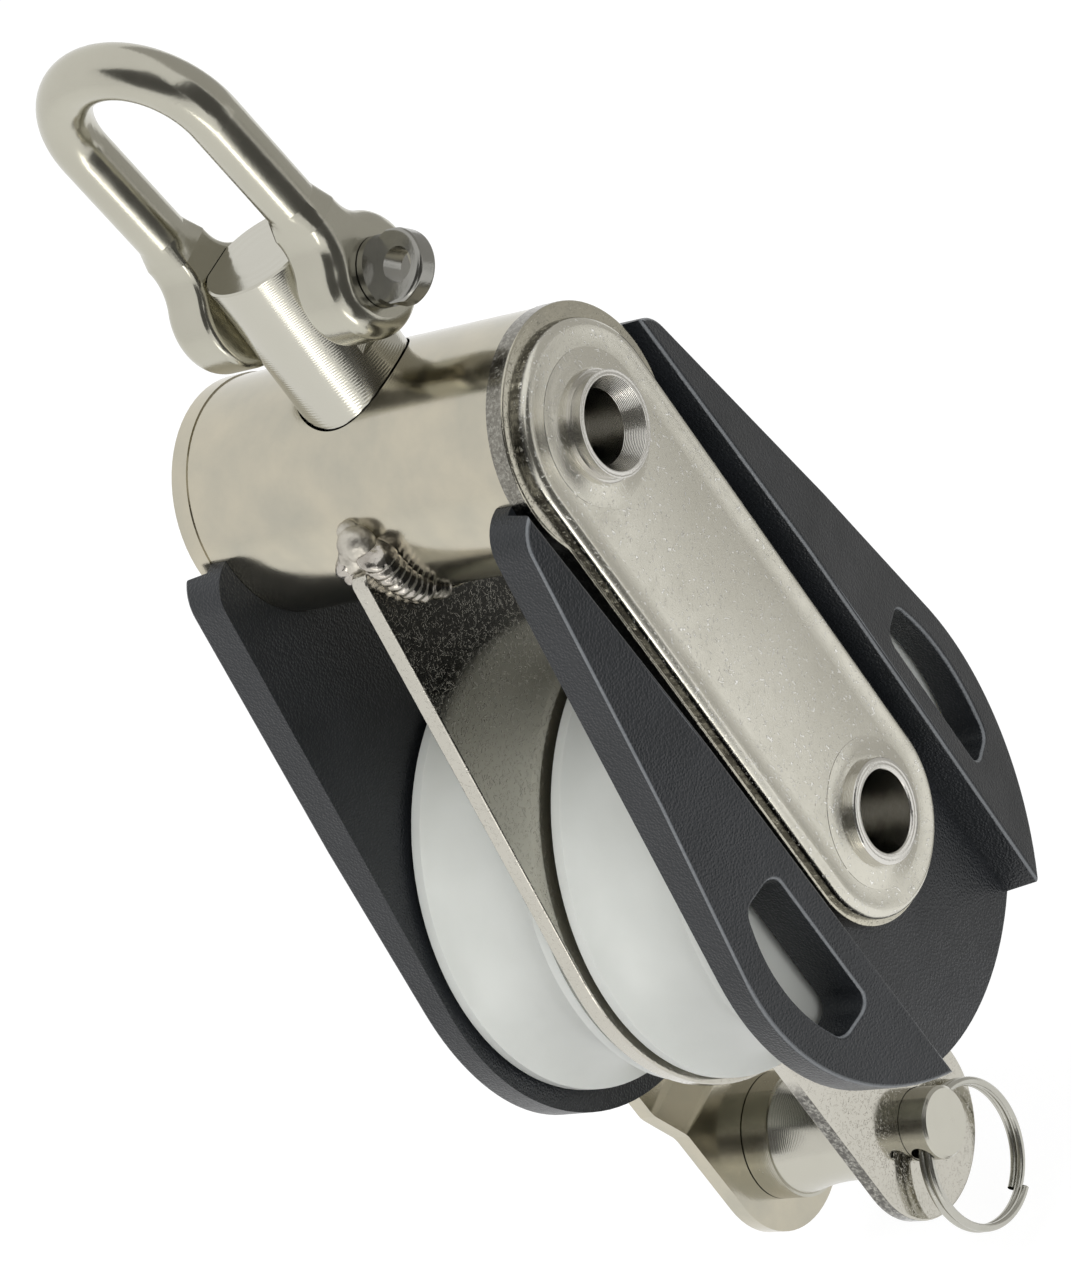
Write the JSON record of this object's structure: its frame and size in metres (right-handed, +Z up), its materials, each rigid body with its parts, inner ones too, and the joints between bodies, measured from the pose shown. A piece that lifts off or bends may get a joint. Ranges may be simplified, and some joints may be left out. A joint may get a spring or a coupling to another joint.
{
  "type": "double becket block",
  "caption": "Rope block with riveted side plates, moulded cheeks, sheaves side by side, a swivelling bow shackle, and a becket with clevis pin, spool and split ring.",
  "frame": {"origin": "centre of the sheave axle, in the middle of the divider", "axes": "+Z up to the shackle, Y along the sheave axle with the front strap at -Y, X across the block"},
  "size_m": [0.0796, 0.0752, 0.2555],
  "materials": {
    "forged_steel": "smooth satin, forged",
    "turned_steel": "fine turned",
    "satin_steel": "satin, finely pitted",
    "polished_steel": "polished, a little dulled",
    "weld_steel": "rippled weld",
    "spring_steel": "bright drawn wire",
    "black_plastic": "fine grain",
    "white_plastic": "smooth satin",
    "bearing_plastic": "smooth"
  },
  "bodies": {
    "shackle_bow": {"shackle_bow": "forged_steel"},
    "shackle_pin": {"shackle_pin": "forged_steel"},
    "swivel_post": {"swivel_post": "turned_steel", "swivel_nut": "turned_steel"},
    "block_frame": {"head_tube": "satin_steel", "saddle_washer": "turned_steel", "upper_rivet": "turned_steel", "sheave_axle": "turned_steel", "front_strap": "satin_steel", "rear_strap": "satin_steel", "front_side_plate": "satin_steel", "rear_side_plate": "satin_steel", "front_cheek": "black_plastic", "rear_cheek": "black_plastic", "divider_plate": "polished_steel", "weld_beads": "weld_steel", "front_inner_washer": "bearing_plastic", "front_outer_washer": "bearing_plastic", "rear_inner_washer": "bearing_plastic", "rear_outer_washer": "bearing_plastic"},
    "front_sheave": {"front_sheave": "white_plastic", "front_bush": "turned_steel"},
    "rear_sheave": {"rear_sheave": "white_plastic", "rear_bush": "turned_steel"},
    "becket_pin": {"becket_pin": "turned_steel"},
    "becket_spool": {"becket_spool": "turned_steel"},
    "split_ring": {"split_ring": "spring_steel"}
  },
  "joints": [
    {"name": "pin_release", "type": "slide", "parent": "shackle_bow", "child": "shackle_pin", "axis": [0, -1, 0], "range_m": [0, 0.036]},
    {"name": "shackle_swing", "type": "hinge", "parent": "shackle_bow", "child": "swivel_post", "pos_m": [0, 0, 0.1138], "axis": [0, 1, 0], "range_deg": [-100, 90]},
    {"name": "head_swivel", "type": "hinge", "parent": "swivel_post", "child": "block_frame", "pos_m": [0, 0, 0.08], "axis": [0, 0, 1], "continuous": true},
    {"name": "front_sheave_spin", "type": "hinge", "parent": "block_frame", "child": "front_sheave", "pos_m": [0, -0.014, 0], "axis": [0, 1, 0], "continuous": true},
    {"name": "rear_sheave_spin", "type": "hinge", "parent": "block_frame", "child": "rear_sheave", "pos_m": [0, 0.014, 0], "axis": [0, 1, 0], "continuous": true},
    {"name": "becket_pin_turn", "type": "hinge", "parent": "block_frame", "child": "becket_pin", "pos_m": [0, 0.01425, -0.0687], "axis": [0, 1, 0], "continuous": true},
    {"name": "spool_spin", "type": "hinge", "parent": "block_frame", "child": "becket_spool", "pos_m": [0, 0.01425, -0.0687], "axis": [0, 1, 0], "continuous": true},
    {"name": "ring_swing", "type": "hinge", "parent": "becket_pin", "child": "split_ring", "pos_m": [0, -0.0037, -0.0687], "axis": [0.9744, 0, 0.225], "range_deg": [-175, 5]}
  ]
}
